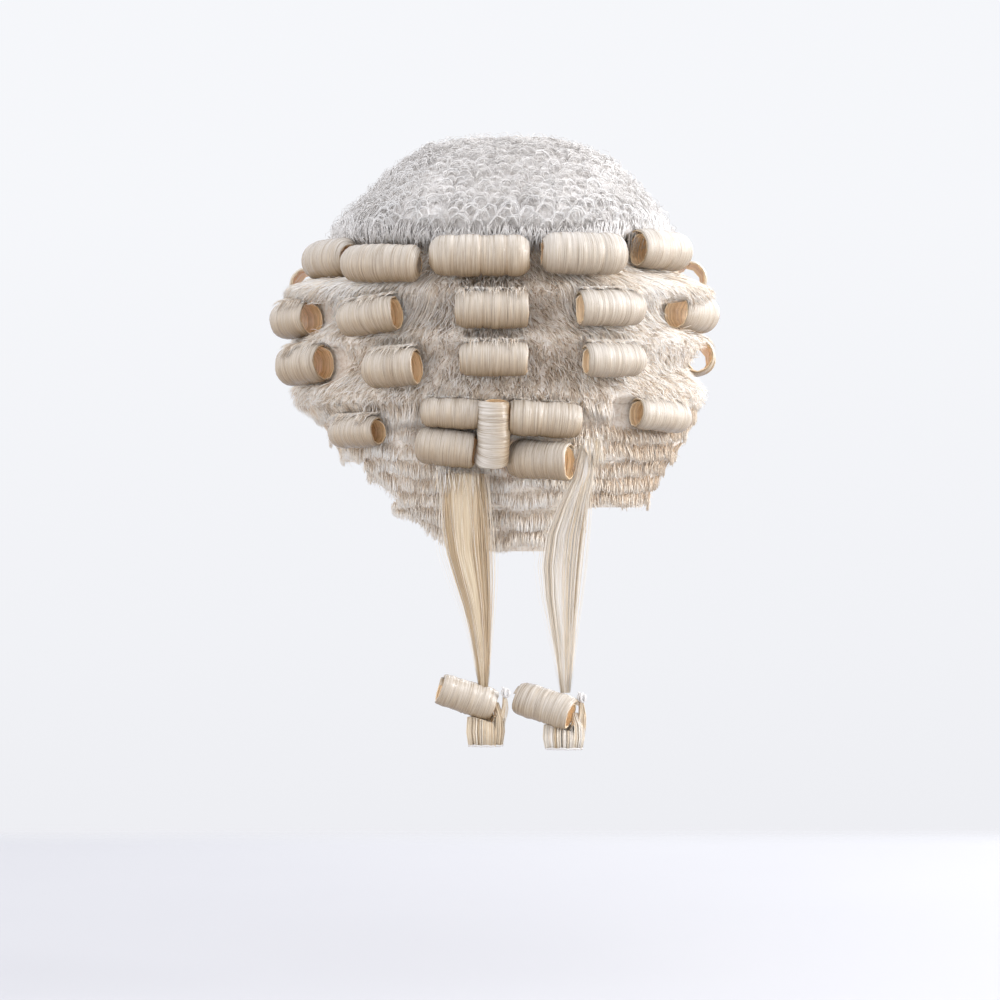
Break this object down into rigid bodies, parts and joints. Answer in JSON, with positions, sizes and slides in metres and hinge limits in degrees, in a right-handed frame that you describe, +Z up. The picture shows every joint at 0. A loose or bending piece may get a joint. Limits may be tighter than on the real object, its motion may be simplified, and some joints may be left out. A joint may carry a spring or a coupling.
{
  "type": "barrister wig",
  "caption": "Hollow court wig of pale frizzed hair with rows of rolled curls round the sides and back, cut tiers between them, and two tied queues at the nape.",
  "frame": {"origin": "the point inside the crown that the top of the wearer's head touches", "axes": "+Z up; the wearer faces -Y, so the back of the wig faces +Y; +X is the wearer's left"},
  "size_m": [0.2335, 0.2355, 0.3165],
  "materials": {
    "frizzed_hair": "frizzed off-white hair, matt, cut short in tiers",
    "rolled_hair": "set hair rolled into tubes, cream, silky sheen across the roll",
    "straight_hair": "straight combed hair, pale straw, silky",
    "cap_net": "plain woven net foundation, matt",
    "binding_thread": "white thread, bound in a knot"
  },
  "bodies": {
    "root": {"crown_frizz": "frizzed_hair", "curl_nape_lower_left": "rolled_hair", "curl_nape_lower_right": "rolled_hair", "curl_nape_upper_left": "rolled_hair", "curl_nape_upper_right": "rolled_hair", "curl_nape_upright": "rolled_hair", "curl_row1_centre": "rolled_hair", "curl_row1_left_1": "rolled_hair", "curl_row1_left_2": "rolled_hair", "curl_row1_left_3": "rolled_hair", "curl_row1_right_1": "rolled_hair", "curl_row1_right_2": "rolled_hair", "curl_row1_right_3": "rolled_hair", "curl_row2_centre": "rolled_hair", "curl_row2_left_1": "rolled_hair", "curl_row2_left_2": "rolled_hair", "curl_row2_left_3": "rolled_hair", "curl_row2_right_1": "rolled_hair", "curl_row2_right_2": "rolled_hair", "curl_row2_right_3": "rolled_hair", "curl_row3_centre": "rolled_hair", "curl_row3_left_1": "rolled_hair", "curl_row3_left_2": "rolled_hair", "curl_row3_left_3": "rolled_hair", "curl_row3_right_1": "rolled_hair", "curl_row3_right_2": "rolled_hair", "curl_row3_right_3": "rolled_hair", "curl_row4_left": "rolled_hair", "curl_row4_right": "rolled_hair", "foundation_cap": "cap_net", "frizz_tier_1": "frizzed_hair", "frizz_tier_2": "frizzed_hair", "frizz_tier_3": "frizzed_hair", "frizz_tier_4": "frizzed_hair", "frizz_tier_5": "frizzed_hair", "nape_fringe": "frizzed_hair", "queue_brush_left": "straight_hair", "queue_brush_right": "straight_hair", "queue_curl_left": "rolled_hair", "queue_curl_right": "rolled_hair", "queue_knot_left": "binding_thread", "queue_knot_right": "binding_thread", "queue_left": "straight_hair", "queue_right": "straight_hair"}
  },
  "joints": []
}
